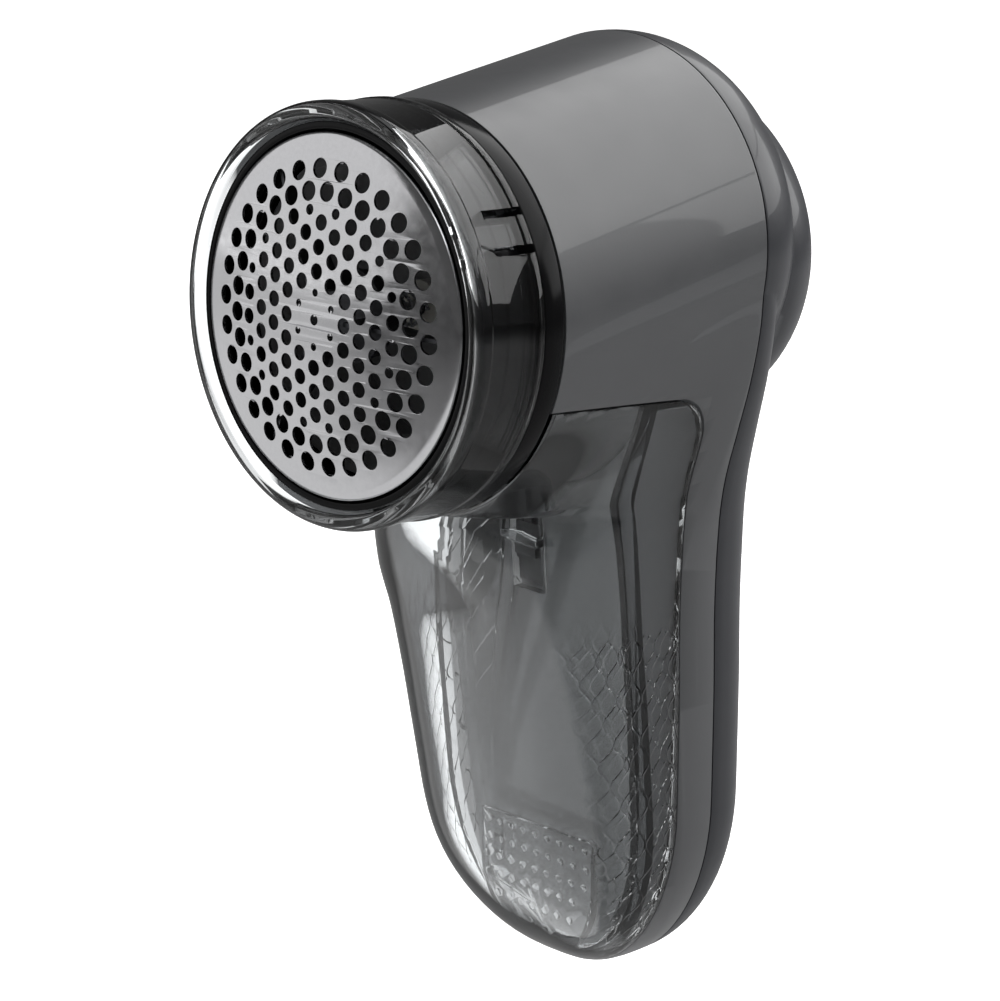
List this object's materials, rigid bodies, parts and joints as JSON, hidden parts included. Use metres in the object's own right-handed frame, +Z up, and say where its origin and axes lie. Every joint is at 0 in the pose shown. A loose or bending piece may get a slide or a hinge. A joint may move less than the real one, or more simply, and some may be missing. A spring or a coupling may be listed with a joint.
{
  "type": "fabric shaver",
  "caption": "Battery fabric shaver with a perforated shaving head, clear height spacer, clear lint container and round-backed grip.",
  "frame": {"origin": "centre of the whole shaver's bounding box", "axes": "+Z up along the handle, -Y towards the shaving head's front, +X to the right seen from the front"},
  "size_m": [0.062, 0.0916, 0.1512],
  "materials": {
    "grey_plastic": "semi-gloss moulded grey",
    "dark_plastic": "satin dark grey",
    "black_plastic": "gloss near-black",
    "clear_plastic": "clear, slightly smoky, polished",
    "white_plastic": "natural white moulding",
    "polished_steel": "polished stainless foil",
    "steel": "plated steel",
    "brass": "bright",
    "copper": "copper",
    "ferrite": "sintered magnet",
    "cell_jacket": "plain cell jacket",
    "lead_black": "insulated lead",
    "lead_red": "insulated lead"
  },
  "bodies": {
    "shaver": {"main_housing": "grey_plastic", "rear_cover": "dark_plastic", "container_catch": "black_plastic", "case_screw_1": "steel", "case_screw_2": "steel", "case_screw_3": "steel", "collar_ring": "black_plastic", "cutter_bowl": "black_plastic", "lint_duct": "black_plastic", "motor_can": "steel", "motor_end_cap": "white_plastic", "motor_bush_front": "brass", "motor_bush_rear": "brass", "motor_cradle": "black_plastic", "magnet_left": "ferrite", "magnet_right": "ferrite", "motor_terminal_left": "brass", "motor_terminal_right": "brass", "bowl_screw_left": "steel", "bowl_screw_right": "steel", "battery_left": "cell_jacket", "battery_right": "cell_jacket", "battery_tray": "black_plastic", "contact_plate_left": "brass", "contact_plate_right": "brass", "contact_bridge": "brass", "contact_spring_top": "steel", "contact_spring_bottom": "steel", "switch_body": "black_plastic", "motor_lead_left": "lead_black", "motor_lead_right": "lead_red"},
    "cutter": {"blade_set": "steel", "cutter_hub": "white_plastic", "drive_sleeve": "white_plastic", "cutter_spring": "steel", "motor_shaft": "steel", "rotor_core": "copper", "commutator": "copper"},
    "shaving_plate": {"mesh_plate": "polished_steel"},
    "lock_ring": {"retaining_ring": "black_plastic"},
    "spacer": {"height_spacer": "clear_plastic"},
    "container": {"lint_container": "clear_plastic"},
    "battery_door": {"battery_cover": "dark_plastic"},
    "switch": {"switch_lever": "white_plastic", "switch_slider": "black_plastic"}
  },
  "joints": [
    {"name": "cutter_spin", "type": "hinge", "parent": "shaver", "child": "cutter", "pos_m": [0, 0.0174, 0.03639], "axis": [0, -0.999, 0.0436], "continuous": true},
    {"name": "plate_pull", "type": "slide", "parent": "shaver", "child": "shaving_plate", "axis": [0, -0.999, 0.0436], "range_m": [0, 0.03]},
    {"name": "ring_twist", "type": "hinge", "parent": "shaving_plate", "child": "lock_ring", "pos_m": [0, 0.0174, 0.03639], "axis": [0, -0.999, 0.0436], "range_deg": [0, 25]},
    {"name": "spacer_pull", "type": "slide", "parent": "shaver", "child": "spacer", "axis": [0, -0.999, 0.0436], "range_m": [0, 0.04]},
    {"name": "container_slide", "type": "slide", "parent": "shaver", "child": "container", "axis": [0, 0, -1], "range_m": [0, 0.11]},
    {"name": "battery_door_slide", "type": "slide", "parent": "shaver", "child": "battery_door", "axis": [0, 1, 0], "range_m": [0, 0.03]},
    {"name": "switch_slide", "type": "slide", "parent": "shaver", "child": "switch", "axis": [0, 0, 1], "range_m": [0, 0.004]}
  ]
}
